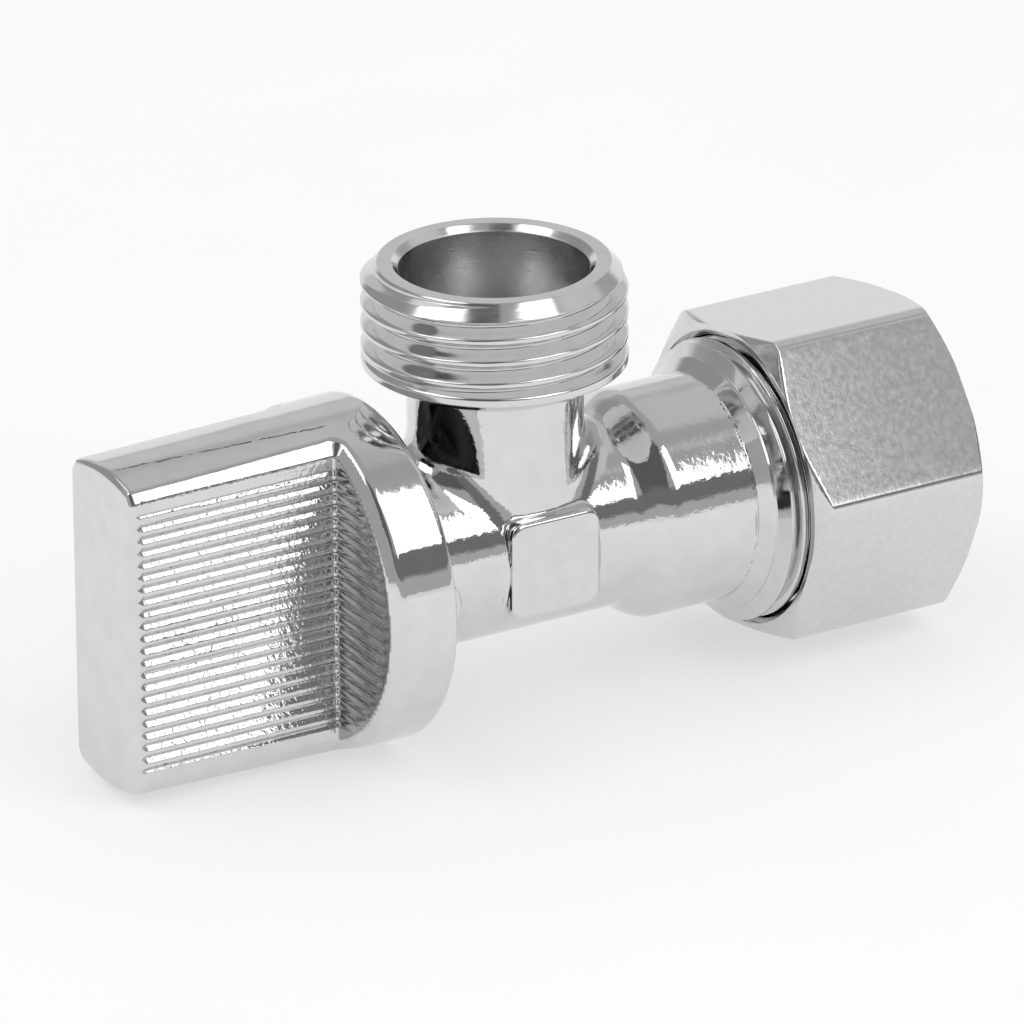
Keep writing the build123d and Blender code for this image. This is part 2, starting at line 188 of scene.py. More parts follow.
# Compression nut
nut_inset = 0.40
nut_left_x, nut_right_x = span("compression_nut", 0)
nut_left_x += nut_inset
nut_apothem = 12.29
nut_turn = radians(7.05)
nut_corner_r = 1.15
nut_chamfer_r = 12.5
nut_chamfer_rise = 1 / tan(radians(30))
nut_mouth_r = 11.95
nut_mouth_depth = 0.5
nut_bore_r = 11.52
nut_hole_r = 8.16
nut_shoulder_x = inlet_end_x + 1.6
nut_shoulder_r = 10.2


def smooth(t):
    """Eases from 0 to 1 as t goes from 0 to 1."""
    t = np.clip(t, 0, 1)
    return t * t * (3 - 2 * t)


def meet(a, b, radius):
    """Intersection of two distance fields, with its outer edge rounded."""
    corner = np.hypot(np.maximum(radius + a, 0), np.maximum(radius + b, 0))
    return np.minimum(-radius, np.maximum(a, b)) + corner


def join(a, b, radius):
    """Union of two distance fields, with a fillet in its corner."""
    corner = np.hypot(np.maximum(radius - a, 0), np.maximum(radius - b, 0))
    return np.maximum(radius, np.minimum(a, b)) - corner


def gradient(field, points, reach=0.01):
    """Slope of a field at each point."""
    slopes = [field(points + d) - field(points - d) for d in np.eye(3) * reach]
    return np.stack(slopes, 1) / (2 * reach)


def crossings(value, axes, axis):
    """Grid edges along one axis that the surface crosses, the crossings, and which edges start outside."""
    count = value.shape[axis]
    lower = np.take(value, range(count - 1), axis)
    upper = np.take(value, range(1, count), axis)
    edges = np.argwhere((lower < 0) != (upper < 0))
    start, end = lower[tuple(edges.T)], upper[tuple(edges.T)]
    places = np.stack([axes[k][edges[:, k]] for k in range(3)], 1)
    step = axes[axis][edges[:, axis] + 1] - axes[axis][edges[:, axis]]
    places[:, axis] += step * start / (start - end)
    return edges, places, start >= 0


def settled(field, points):
    """Points moved onto the field's zero level along its slope."""
    longest_move = 0.12
    least_slope = 0.3
    for _ in range(4):
        slope = gradient(field, points)
        steepness = np.maximum(np.linalg.norm(slope, axis=1), least_slope)
        move = np.clip(field(points) / steepness, -longest_move, longest_move)
        points = points - slope * (move / steepness)[:, None]
    return points


def surface_net(field, axes):
    """Points, quads and normals of a field's zero level, sampled at the places that three axes list."""
    shape = [len(places) for places in axes]
    cells = [count - 1 for count in shape]
    value = field(np.stack(np.meshgrid(*axes, indexing="ij"), -1).reshape(-1, 3)).reshape(shape)
    cell_ids, cell_points, quads = [], [], []
    for axis in range(3):
        edges, places, outside_first = crossings(value, axes, axis)
        around = []
        for shift_across, shift_up in ((-1, -1), (0, -1), (0, 0), (-1, 0)):
            cell = edges.copy()
            cell[:, (axis + 1) % 3] += shift_across
            cell[:, (axis + 2) % 3] += shift_up
            around.append(np.ravel_multi_index(cell.T, cells))
            cell_ids.append(around[-1])
            cell_points.append(places)
        quad = np.stack(around, 1)
        quad[outside_first] = quad[outside_first][:, ::-1]
        quads.append(quad)
    cell_ids = np.concatenate(cell_ids)
    cell_points = np.concatenate(cell_points)
    used, quads = np.unique(np.concatenate(quads), return_inverse=True)
    row = np.searchsorted(used, cell_ids)
    count = np.bincount(row, minlength=len(used))
    points = np.stack([np.bincount(row, cell_points[:, k], len(used)) / count for k in range(3)], 1)
    points = settled(field, points)
    normals = gradient(field, points)
    return points, quads.reshape(-1, 4), normals / np.maximum(np.linalg.norm(normals, axis=1), 1e-6)[:, None]


def spaced(*stretches):
    """Places along an axis: each stretch is (start, end, step), and the next starts where it ends."""
    places = []
    for start, end, step in stretches:
        places.append(np.linspace(start, end, ceil((end - start) / step), endpoint=False))
    return np.append(np.concatenate(places), stretches[-1][1])


def rounded_loop(corners):
    """Closed outline through (along, r, rounding, step) corners. The step is that of the next stretch."""
    places = np.array([corner[:2] for corner in corners], float)
    arcs = []
    arc_points = 6
    for k, (place, corner) in enumerate(zip(places, corners)):
        before = places[k - 1] - place
        after = places[(k + 1) % len(corners)] - place
        before = before / np.linalg.norm(before)
        after = after / np.linalg.norm(after)
        half = acos(np.clip(before @ after, -1, 1)) / 2
        middle = (before + after) / np.linalg.norm(before + after)
        center = place + middle * corner[2] / sin(half)
        start = place + before * corner[2] / tan(half) - center
        end = place + after * corner[2] / tan(half) - center
        turn = np.array([start + (end - start) * t for t in np.linspace(0, 1, arc_points)])
        turn *= corner[2] / np.linalg.norm(turn, axis=1)[:, None]
        arcs.append(center + turn)
    outline = []
    for k, arc in enumerate(arcs):
        following = arcs[(k + 1) % len(arcs)][0]
        reach = following - arc[-1]
        steps = max(1, ceil(np.linalg.norm(reach) / corners[k][3]))
        outline.append(arc[:-1])
        outline.append(arc[-1] + reach * np.linspace(0, 1, steps, endpoint=False)[:, None])
    return np.concatenate(outline)


def turned(corners, angles, axis, radius_at):
    """Points and quads of a closed outline turned about an axis, with the radius changed by angle."""
    outline = rounded_loop(corners)
    along = np.repeat(outline[:, :1], len(angles), 1)
    angle = np.repeat(angles[None, :], len(outline), 0)
    r = radius_at(along, outline[:, 1:], angle) * np.ones_like(along)
    if axis == 0:
        points = np.stack([along, r * np.cos(angle), r * np.sin(angle)], -1)
    else:
        points = np.stack([r * np.cos(angle), r * np.sin(angle), along], -1)
    rows = np.arange(len(outline))[:, None]
    columns = np.arange(len(angles))[None, :]
    next_rows = (rows + 1) % len(outline)
    next_columns = (columns + 1) % len(angles)
    corner_ids = [
        rows * len(angles) + columns,
        next_rows * len(angles) + columns,
        next_rows * len(angles) + next_columns,
        rows * len(angles) + next_columns,
    ]
    quads = np.stack(corner_ids, -1).reshape(-1, 4)
    points = points.reshape(-1, 3)
    a, b, c, d = (points[quads[:, k]] for k in range(4))
    volume = np.einsum("ij,ij->i", a, np.cross(b - a, c - a) + np.cross(c - a, d - a)).sum()
    if volume < 0:
        quads = quads[:, ::-1]
    return points, quads


def add_piece(name, points, quads, body, materials, stands_for, normals=None, finish=None):
    """Mesh object from points in millimetres about the crossing, riding on its body.

    finish holds the number of the material that each face takes.
    """
    mesh = bpy.data.meshes.new(name)
    mesh.from_pydata(((points + (crossing_x, 0, 0)) * MM).tolist(), [], quads.tolist())
    mesh.polygons.foreach_set("use_smooth", [True] * len(mesh.polygons))
    if normals is not None:
        mesh.normals_split_custom_set_from_vertices(normals.tolist())
    for material in materials:
        mesh.materials.append(material)
    if finish is not None:
        mesh.polygons.foreach_set("material_index", finish.astype(int).tolist())
    mesh.update()
    piece = bpy.data.objects.new(name, mesh)
    bpy.context.scene.collection.objects.link(piece)
    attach(piece, body)
    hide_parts(stands_for)
    return piece


def thread_cut(along, angle, pitch, depth, crest_share=0.17, root_share=0.10):
    """How deep a right-hand thread is cut at a place, from 0 on the crest to its full depth."""
    phase = (along / pitch - angle / (2 * pi)) % 1
    from_crest = 1 - np.abs(2 * phase - 1)
    flank = np.clip((from_crest - crest_share) / (1 - crest_share - root_share), 0, 1)
    eased = 0.3
    return depth * ((1 - eased) * flank + eased * smooth(flank))


def bore(along, from_axis, radius, start, end):
    """Field of a plain round hole."""
    return np.maximum(from_axis - radius, np.maximum(start - along, along - end))


def pad_field(x, y, z):
    """Raised flat with rounded corners on the casting's front."""
    beside = np.abs(x - pad_center_x) - pad_half + pad_corner_r
    above = np.abs(z) - pad_half + pad_corner_r
    outline = np.hypot(np.maximum(beside, 0), np.maximum(above, 0))
    outline = outline + np.minimum(np.maximum(beside, above), 0) - pad_corner_r
    return np.maximum(meet(outline, pad_face_y - y, pad_edge_r), y)


def lug_field(x, y, z):
    """Round lug that the handle's stop ribs meet."""
    outward = y * cos(lug_angle) + z * sin(lug_angle)
    sideways = z * cos(lug_angle) - y * sin(lug_angle)
    lug = meet(np.hypot(x - lug_center_x, sideways) - lug_r, outward - lug_top_r, lug_edge_r)
    return np.maximum(lug, np.maximum(-outward, run_left_x - x))


def water_ways(x, z, from_x_axis, from_z_axis):
    """Cartridge's cavity, the passage, the tube's socket and the outlet's cup."""
    head_skin = np.where(z > head_foot_z, skin_gap, 0)
    cup_r = np.clip(outlet_cup_r + z - outlet_cup_floor_z, neck_bore_r, outlet_cup_r) + head_skin
    spigot_skin = np.where(x > collar_x - spigot_overlap - 0.1, skin_gap, 0)
    return np.minimum.reduce([
        bore(x, from_x_axis, cavity_r, run_left_x - 1, cavity_end_x),
        bore(x, from_x_axis, cartridge_thread_r, run_left_x - 1, run_left_x + cartridge_thread_length),
        bore(x, from_x_axis, passage_r, cavity_end_x - 1, tube_stop_x + 1),
        bore(x, from_x_axis - spigot_skin, tube_bore_r, tube_stop_x, collar_x + 1),
        bore(z, from_z_axis - cup_r, 0, 0, neck_top_z + 1),
    ])


def casting_field(points):
    """Run, shoulder, barrel and neck with their fillets, the raised flat, the lug and the water ways."""
    x, y, z = points.T
    from_x_axis = np.hypot(y, z)
    from_z_axis = np.hypot(x, y)
    rise = smooth((x - shoulder_start_x) / shoulder_length)
    run = from_x_axis - (run_r + (inlet_r - run_r) * rise)
    run = meet(run, run_left_x - x, run_end_edge_r)
    run = meet(run, x - collar_x, collar_edge_r)
    neck = np.maximum(from_z_axis - neck_r, np.maximum(z - neck_top_z, -z))
    agreement = y * y / np.maximum(from_x_axis * from_z_axis, 1e-6)
    fillet = crease_fillet + neck_fillet * np.clip(1 - agreement, 0, 1)
    cast = join(run, neck, fillet)
    cast = join(cast, pad_field(x, y, z), crease_fillet)
    cast = join(cast, lug_field(x, y, z), crease_fillet)
    return np.maximum(cast, -water_ways(x, z, from_x_axis, from_z_axis))


def rib_grooves(z, depth, faded):
    """Depth of the grooves between the grip ribs. They get shallower and narrower as faded goes to 1."""
    place = (z - rib_center_z) / rib_pitch
    across = np.abs(place % 1 - 0.5) * rib_pitch
    inside = np.abs(place) < rib_count / 2
    return depth * np.clip(1 - across / groove_half - np.clip(faded, 0, 1), 0, 1) * inside


def handle_hollow(x, y, z, from_axis):
    """Skirt's hollow with its stop ribs left standing, and the bores for clip, spindle and screw."""
    skirt_hole = bore(x, from_axis, skirt_bore_r, skirt_floor_x, handle_skirt_x + 1)
    for middle in stop_rib_angles:
        outward = y * cos(middle) + z * sin(middle)
        sideways = np.abs(z * cos(middle) - y * sin(middle))
        rib = np.maximum(sideways - outward * tan(stop_rib_half_angle), stop_rib_inner_r - from_axis)
        rib = np.maximum(rib, x - handle_skirt_x + stop_rib_recess)
        skirt_hole = np.maximum(skirt_hole, -rib)
    return np.minimum.reduce([
        skirt_hole,
        bore(x, from_axis, hub_recess_r, hub_floor_x, skirt_floor_x + 1),
        bore(x, from_axis, spindle_bore_r, spindle_bore_end_x, hub_floor_x + 1),
        bore(z, np.hypot(x - screw_x, y), screw_bore_r, -handle_skirt_r - 1, -spindle_bore_r + 0.5),
    ])


def handle_field(points):
    """Tapered round blank cut to a ribbed blade on both sides, with its bevelled rim and its bores."""
    x, y, z = points.T
    from_axis = np.hypot(y, z)
    side = np.abs(y)
    taper = (handle_skirt_r - handle_end_r) / (handle_skirt_x - handle_end_x)
    blank_r = handle_end_r + taper * (x - handle_end_x)
    round_side = meet(from_axis - blank_r, x - handle_skirt_x, skirt_edge_r)
    at_end = 1 - (x - handle_end_x - groove_end_margin) / groove_end_fade
    at_edge = 1 - (blank_r - groove_edge_margin - from_axis) / groove_edge_fade
    floor = side - blade_half + rib_grooves(z, groove_depth, np.maximum(at_end, at_edge))
    wall = handle_step_x - x + rib_grooves(z, wall_groove_depth, at_edge)
    recess = join(floor, wall, recess_fillet)
    along = smooth((x - handle_end_x) / (handle_step_x - handle_end_x))
    bevel_size = bevel_near_end + (bevel_near_skirt - bevel_near_end) * along
    plain_recess = join(side - blade_half, handle_step_x - x, recess_fillet)
    bevel = (from_axis - blank_r + plain_recess + bevel_size) * bevel_field_scale
    shaped = meet(meet(round_side, bevel, bevel_outer_edge_r), recess, bevel_inner_edge_r)
    shaped = meet(shaped, handle_end_x - x, blade_end_edge_r)
    return meet(shaped, -handle_hollow(x, y, z, from_axis), hole_edge_r)


def outlet_radius(along, r, angle):
    """Outlet head: the thread on the outside of the turned outline."""
    fade_in = smooth((along - outlet_crest_low_z - outlet_run_out_start) / outlet_run_out_length)
    cut = fade_in * thread_cut(along - outlet_thread_phase_z, angle, outlet_pitch, outlet_depth)
    on_thread = (r > outlet_rim_inner_r + 0.6) & (along > outlet_crest_low_z)
    return np.where(on_thread, np.minimum(r, outlet_thread_r - cut), r)


def inlet_radius(along, r, angle):
    """Inlet spigot: the thread on the outside of the turned outline."""
    start_x = inlet_flank_end_x + inlet_run_out_start
    fade_in = smooth((along - start_x) / inlet_run_out_length)
    cut = fade_in * thread_cut(along, angle, inlet_pitch, inlet_depth, inlet_crest_share)
    on_thread = (r > inlet_thread_r - inlet_depth - 0.05) & (along > start_x)
    return np.where(on_thread, np.minimum(r, inlet_thread_r - cut), r)


def hexagon_radius(angle):
    """Radius of the nut's hexagon with its rounded corners."""
    sector = radians(60)
    off_flat = np.abs((angle - (pi / 2 - nut_turn) + sector / 2) % sector - sector / 2)
    flat = nut_apothem / np.cos(off_flat)
    reach = (nut_apothem - nut_corner_r) / cos(sector / 2)
    off_corner = sector / 2 - off_flat
    corner = reach * np.cos(off_corner)
    corner = corner + np.sqrt(np.maximum(nut_corner_r ** 2 - (reach * np.sin(off_corner)) ** 2, 0))
    flat_end = atan((nut_apothem - nut_corner_r) * tan(sector / 2) / nut_apothem)
    return np.where(off_flat < flat_end, flat, corner)


def nut_radius(along, r, angle):
    """Nut: the outline outside is held in by the hexagon, with the chamfer's edge eased."""
    ease = 0.10
    hexagon = hexagon_radius(angle)
    near = np.maximum(ease - np.abs(r - hexagon), 0) / ease
    outside = np.minimum(r, hexagon) - near ** 2 * ease / 4
    return np.where(r > nut_mouth_r + 0.1, outside, r)


def nut_angles():
    """Angles round the nut, closer together at its corners."""
    half = np.array([0, 3, 6, 9, 12, 15, 18, 21, 24, 26, 27.5, 28.4, 28.8, 29.1, 29.4, 29.7])
    sector = np.concatenate([half, [30], 60 - half[:0:-1]])
    return np.concatenate([np.radians(sector + 60 * k) for k in range(6)]) + pi / 2 - nut_turn


def all_round(count):
    """Angles spread evenly round a circle."""
    return np.linspace(0, 2 * pi, count, endpoint=False)


# Materials


def nodes_of(material):
    """A material's nodes and links, with its nodes switched on."""
    material.use_nodes = True
    return material.node_tree.nodes, material.node_tree.links


def mapped_noise(nodes, links, scale_mm, stretch=(1, 1, 1), detail=3.0, roughness=0.5):
    """Noise in the object's own space, whose features are about scale_mm across."""
    coordinates = nodes.new("ShaderNodeTexCoord")
    mapping = nodes.new("ShaderNodeMapping")
    mapping.inputs["Scale"].default_value = stretch
    links.new(coordinates.outputs["Object"], mapping.inputs["Vector"])
    noise = nodes.new("ShaderNodeTexNoise")
    noise.inputs["Scale"].default_value = 1 / (scale_mm * MM)
    noise.inputs["Detail"].default_value = detail
    noise.inputs["Roughness"].default_value = roughness
    links.new(mapping.outputs["Vector"], noise.inputs["Vector"])
    return noise.outputs["Fac"]


def ranged(nodes, links, value, low, high, start=0.3, end=0.7):
    """Maps a value from start..end to low..high."""
    mapped = nodes.new("ShaderNodeMapRange")
    mapped.inputs["From Min"].default_value = start
    mapped.inputs["From Max"].default_value = end
    mapped.inputs["To Min"].default_value = low
    mapped.inputs["To Max"].default_value = high
    links.new(value, mapped.inputs["Value"])
    return mapped.outputs["Result"]


def tinted(nodes, links, value, dark, light):
    """Colour between two, by a value."""
    ramp = nodes.new("ShaderNodeValToRGB")
    ramp.color_ramp.elements[0].color = (*dark, 1)
    ramp.color_ramp.elements[0].position = 0.3
    ramp.color_ramp.elements[1].color = (*light, 1)
    ramp.color_ramp.elements[1].position = 0.7
    links.new(value, ramp.inputs["Fac"])
    return ramp.outputs["Color"]


def combined(nodes, links, operation, *values):
    """Result of a math node whose inputs are sockets or numbers."""
    math = nodes.new("ShaderNodeMath")
    math.operation = operation
    for slot, value in zip(math.inputs, values):
        if isinstance(value, (int, float)):
            slot.default_value = value
        else:
            links.new(value, slot)
    return math.outputs[0]


def within(nodes, links, value, low, high, soft):
    """1 where a value lies between low and high in millimetres, easing to 0 beyond them."""
    above = ranged(nodes, links, value, 0, 1, low * MM, (low + soft) * MM)
    below = ranged(nodes, links, value, 1, 0, high * MM, (high + soft) * MM)
    return combined(nodes, links, "MULTIPLY", above, below)


def bumped(nodes, links, height, depth_mm, normal=None):
    """Normal of a bump of this depth, laid over another one."""
    bump = nodes.new("ShaderNodeBump")
    bump.inputs["Distance"].default_value = depth_mm * MM
    links.new(height, bump.inputs["Height"])
    if normal is not None:
        links.new(normal, bump.inputs["Normal"])
    return bump.outputs["Normal"]


def surface_material(name, dark, light, roughness, metallic, ripples, tint_mm=2.0):
    """Finish with a varied colour and roughness and bump layers of (size mm, depth mm, stretch)."""
    material = bpy.data.materials.new(name)
    nodes, links = nodes_of(material)
    shader = nodes["Principled BSDF"]
    shader.inputs["Metallic"].default_value = metallic
    patches = mapped_noise(nodes, links, tint_mm, detail=4.0)
    links.new(tinted(nodes, links, patches, dark, light), shader.inputs["Base Color"])
    links.new(ranged(nodes, links, patches, *roughness), shader.inputs["Roughness"])
    normal = None
    for size_mm, depth_mm, stretch in ripples:
        height = mapped_noise(nodes, links, size_mm, stretch, detail=2.0)
        normal = bumped(nodes, links, height, depth_mm, normal)
    links.new(normal, shader.inputs["Normal"])
    return material


EVEN = (1, 1, 1)
chrome_dark = (0.66, 0.66, 0.665)
chrome_light = (0.71, 0.71, 0.715)


def chrome(name, roughness, ripples, dark=chrome_dark, light=chrome_light, tint_mm=2.0):
    """Plated metal, which differs by its roughness, its ripples and how bright it is."""
    return surface_material(name, dark, light, roughness, 1.0, ripples, tint_mm)


def chrome_cast():
    """Bright plate over a cast surface: long soft ripples with a fine grain."""
    ripples = [(2.6, 0.030, EVEN), (0.55, 0.009, EVEN), (0.24, 0.0040, EVEN)]
    return chrome("chrome_cast", (0.03, 0.07), ripples)


def add_seam(material):
    """Darkens a hairline along the top of the blade, where the two halves of the mould met."""
    nodes, links = nodes_of(material)
    shader = nodes["Principled BSDF"]
    coordinates = nodes.new("ShaderNodeTexCoord")
    place = nodes.new("ShaderNodeSeparateXYZ")
    links.new(coordinates.outputs["Object"], place.inputs["Vector"])
    near_end_x = handle_end_x + crossing_x + 1.5
    start_y = (seam_near_end_y - seam_drift * near_end_x) * MM
    middle = combined(nodes, links, "MULTIPLY_ADD", place.outputs["X"], seam_drift, start_y)
    waver = ranged(nodes, links, mapped_noise(nodes, links, 1.2), -seam_waver * MM, seam_waver * MM)
    off_line = combined(nodes, links, "SUBTRACT", place.outputs["Y"], middle)
    off_line = combined(nodes, links, "SUBTRACT", off_line, waver)
    across = combined(nodes, links, "ABSOLUTE", off_line)
    line = ranged(nodes, links, across, 1, 0, 0.4 * seam_half * MM, seam_half * MM)
    broken = ranged(nodes, links, mapped_noise(nodes, links, 0.8), 0, 1, 0.36, 0.50)
    on_top = ranged(nodes, links, place.outputs["Z"], 0, 1, 0, MM)
    seam_start_x = handle_end_x + crossing_x + 0.6
    seam_end_x = handle_step_x + crossing_x + 0.3
    on_blade = within(nodes, links, place.outputs["X"], seam_start_x, seam_end_x, 0.5)
    for mask in (broken, on_top, on_blade):
        line = combined(nodes, links, "MULTIPLY", line, mask)
    darkened = nodes.new("ShaderNodeMixRGB")
    darkened.inputs["Color2"].default_value = (0.16, 0.16, 0.16, 1)
    links.new(line, darkened.inputs["Fac"])
    links.new(shader.inputs["Base Color"].links[0].from_socket, darkened.inputs["Color1"])
    links.new(darkened.outputs["Color"], shader.inputs["Base Color"])
    return material


def chrome_handle():
    """Bright plate over the handle's smooth sides."""
    ripples = [(3.5, 0.025, EVEN), (0.7, 0.0035, EVEN), (0.22, 0.0010, EVEN)]
    return add_seam(chrome("chrome_handle", (0.03, 0.07), ripples))


def chrome_ribbed():
    """Plate over the grip's ribs, where the casting's grain shows."""
    ripples = [(1.6, 0.020, EVEN), (0.40, 0.045, EVEN), (0.18, 0.012, EVEN)]
    return chrome("chrome_ribbed", (0.05, 0.10), ripples)


def chrome_wall():
    """Duller plate on the step that ends the ribs."""
    ripples = [(0.5, 0.008, EVEN), (0.2, 0.004, EVEN)]
    return chrome("chrome_wall", (0.12, 0.20), ripples, (0.42, 0.42, 0.425), (0.56, 0.56, 0.565))


def chrome_turned_z():
    """Plate over a lathe-turned surface whose rings go round the outlet."""
    return chrome("chrome_turned_z", (0.08, 0.16), [(1.5, 0.008, EVEN), (0.5, 0.004, (0.1, 0.1, 1.6))])


def chrome_turned_x():
    """The same over rings that go round the inlet, a little brighter."""
    return chrome("chrome_turned_x", (0.05, 0.10), [(1.5, 0.008, EVEN), (0.5, 0.003, (1.6, 0.1, 0.1))])


def chrome_bored():
    """Thin dull plate in the bored cup, with the tool's rings."""
    ripples = [(1.8, 0.006, (1.0, 1.0, 0.1)), (0.30, 0.008, (0.05, 0.05, 2.0))]
    return chrome("chrome_bored", (0.22, 0.34), ripples, (0.60, 0.60, 0.605), (0.72, 0.72, 0.725))


def chrome_satin():
    """Plate over the nut's lightly pitted flats."""
    ripples = [(0.7, 0.0022, EVEN), (0.30, 0.0024, EVEN), (0.13, 0.0022, EVEN)]
    return chrome("chrome_satin", (0.09, 0.14), ripples, tint_mm=0.5)


def raw_casting():
    """Unplated metal inside the handle, painted near black as painted shade for the hollow."""
    ripples = [(0.6, 0.02, EVEN), (0.2, 0.008, EVEN)]
    return chrome("raw_casting", (0.5, 0.65), ripples, (0.05, 0.05, 0.05), (0.10, 0.10, 0.10))


# Finishes of the inner pieces: dark, light, roughness, metallic and bump layers
lathe_lines = [(0.3, 0.004, (1.5, 0.15, 0.15))]
wire_lines = [(0.2, 0.003, (1.4, 0.2, 0.2))]
plain_finishes = {
    "turned_brass": ((0.55, 0.40, 0.16), (0.66, 0.49, 0.22), (0.18, 0.32), 1.0, lathe_lines),
    "lapped_ceramic": ((0.86, 0.85, 0.81), (0.91, 0.90, 0.87), (0.20, 0.30), 0.0, [(0.15, 0.002, EVEN)]),
    "black_rubber": ((0.02, 0.02, 0.02), (0.04, 0.04, 0.04), (0.50, 0.65), 0.0, [(0.12, 0.006, EVEN)]),
    "white_plastic": ((0.78, 0.78, 0.75), (0.84, 0.84, 0.81), (0.35, 0.45), 0.0, [(0.25, 0.003, EVEN)]),
    "fibre_gasket": ((0.07, 0.06, 0.05), (0.11, 0.10, 0.09), (0.65, 0.80), 0.0, [(0.10, 0.010, EVEN)]),
    # Nickel painted much darker than nickel is: painted shade for the cartridge housing seen in the gap
    # between handle and casting.
    "dull_nickel": ((0.26, 0.26, 0.255), (0.36, 0.36, 0.355), (0.25, 0.35), 1.0, lathe_lines),
    "bright_steel": ((0.50, 0.50, 0.51), (0.58, 0.58, 0.59), (0.22, 0.34), 1.0, wire_lines),
}
node_finishes = {
    # The housing takes the darkened nickel, as painted shade in the gap.
    "cartridge_housing": "dull_nickel",
    "spindle": "turned_brass",
    "compression_ferrule": "turned_brass",
    "fixed_disc": "lapped_ceramic",
    "rotating_disc": "lapped_ceramic",
    "base_seal": "black_rubber",
    "spindle_oring_outer": "black_rubber",
    "spindle_oring_inner": "black_rubber",
    "seal_support_ring": "white_plastic",
    "slip_washer": "white_plastic",
    "housing_gasket": "fibre_gasket",
    "spindle_clip": "bright_steel",
    "handle_screw": "bright_steel",
}


def finish_cad_nodes():
    """Gives the inner pieces, whose CAD shapes stay, their own materials."""
    made = {name: surface_material(name, *values, tint_mm=0.8) for name, values in plain_finishes.items()}
    for node, finish in node_finishes.items():
        data = frame["nodes"][node].data
        data.materials.clear()
        data.materials.append(made[finish])


def add_casting():
    """Casting between the handle, the outlet head and the inlet spigot."""
    margin, grid = 0.5, 0.24
    axes = [
        spaced((run_left_x - margin, collar_x + margin, grid)),
        spaced((-inlet_r - margin, inlet_r + margin, grid)),
        spaced((-inlet_r - margin, neck_top_z + margin, grid)),
    ]
    points, quads, normals = surface_net(casting_field, axes)
    add_piece("body_casting", points, quads, "valve", [chrome_cast()], "valve_body", normals)


def add_outlet_head():
    """Threaded head of the neck, with the bored cup in its end."""
    root_r = outlet_thread_r - outlet_depth
    chamfer = outlet_thread_r - outlet_rim_outer_r
    under_z = outlet_crest_low_z - 0.6 * outlet_depth
    cone_foot_z = outlet_cup_floor_z - (outlet_cup_r - neck_bore_r)
    corners = [
        (head_foot_z, neck_r - 0.1, 0.02, 0.5),
        (under_z - 1.1, neck_r - 0.1, 0.15, 0.2),
        (under_z, root_r, 0.15, 0.1),
        (outlet_crest_low_z, outlet_thread_r, 0.15, 0.075),
        (outlet_top_z - chamfer, outlet_thread_r, 0.08, 0.075),
        (outlet_top_z, outlet_rim_outer_r, 0.08, 0.3),
        (outlet_top_z, outlet_rim_inner_r, 0.06, 0.1),
        (outlet_top_z - (outlet_rim_inner_r - outlet_cup_r), outlet_cup_r, 0.06, 0.35),
        (outlet_cup_floor_z, outlet_cup_r, 0.10, 0.3),
        (cone_foot_z, neck_bore_r, 0.05, 0.3),
        (head_foot_z, neck_bore_r, 0.02, 0.5),
    ]
    points, quads = turned(corners, all_round(320), 2, outlet_radius)
    from_axis = np.hypot(points[:, 0], points[:, 1])[quads]
    in_cup = from_axis.max(1) < outlet_cup_r + 0.1
    finishes = [chrome_turned_z(), chrome_bored()]
    add_piece("outlet_head", points, quads, "valve", finishes, "valve_body", finish=in_cup)


def add_inlet_spigot():
    """Threaded end of the barrel, with the ferrule's seat in its mouth."""
    root_r = inlet_thread_r - inlet_depth
    seat_start_x = inlet_end_x - seat_mouth_extra_r / seat_slope
    corners = [
        (collar_x - spigot_overlap, collar_groove_r, 0.02, 0.2),
        (collar_x + 0.1, collar_groove_r, 0.04, 0.15),
        (collar_cone_end_x, collar_cone_end_r, 0.04, 0.1),
        (collar_land_end_x, collar_cone_end_r, 0.04, 0.06),
        (inlet_flank_end_x, inlet_thread_r, 0.05, 0.07),
        (inlet_end_x - inlet_depth, inlet_thread_r, 0.05, 0.07),
        (inlet_end_x, root_r, 0.05, 0.2),
        (inlet_end_x, tube_bore_r + seat_mouth_extra_r, 0.05, 0.2),
        (seat_start_x, tube_bore_r, 0.05, 0.5),
        (collar_x - spigot_overlap, tube_bore_r, 0.02, 0.3),
    ]
    points, quads = turned(corners, all_round(240), 0, inlet_radius)
    add_piece("inlet_spigot", points, quads, "valve", [chrome_turned_x()], "valve_body")


def handle_axes():
    """Grid places for the handle, closer together at its end, at the step, at the floors and at the ribs."""
    edge = handle_skirt_r + 0.4
    floor_start = blade_half + 0.37
    floor_end = blade_half - 1.2
    ribbed = rib_pitch * rib_count / 2 + 0.3
    along = spaced(
        (handle_end_x - 0.3, handle_end_x + 1.6, 0.14),
        (handle_end_x + 1.6, handle_step_x - 0.8, 0.46),
        (handle_step_x - 0.8, handle_step_x + 1.4, 0.16),
        (handle_step_x + 1.4, handle_skirt_x + 0.4, 0.32),
    )
    across = spaced(
        (-edge, -floor_start, 0.37),
        (-floor_start, -floor_end, 0.13),
        (-floor_end, floor_end, 0.4),
        (floor_end, floor_start, 0.13),
        (floor_start, edge, 0.37),
    )
    upward = spaced((-edge, -ribbed, 0.22), (-ribbed, ribbed, rib_pitch / 8), (ribbed, edge, 0.22))
    return along, across, upward


def handle_finish(middles):
    """Material number by a face's middle: 0 smooth sides, 1 hollow with its painted shade, 2 ribbed floors,
    3 ribbed steps.
    """
    x, y, z = middles.T
    side = np.abs(y)
    from_axis = np.hypot(y, z)
    in_recess = from_axis < handle_end_r - 0.45
    hollow = (from_axis < skirt_bore_r - 0.05) & (x > handle_step_x + 1)
    on_floor = np.abs(side - blade_half + groove_depth / 2) < groove_depth / 2 + 0.03
    floor = in_recess & on_floor & (x > handle_end_x + 0.3) & (x < handle_step_x + 0.05)
    wall = in_recess & (side > blade_half) & (np.abs(x - handle_step_x - 0.08) < 0.2)
    return np.select([hollow, floor, wall], [1, 2, 3], 0)


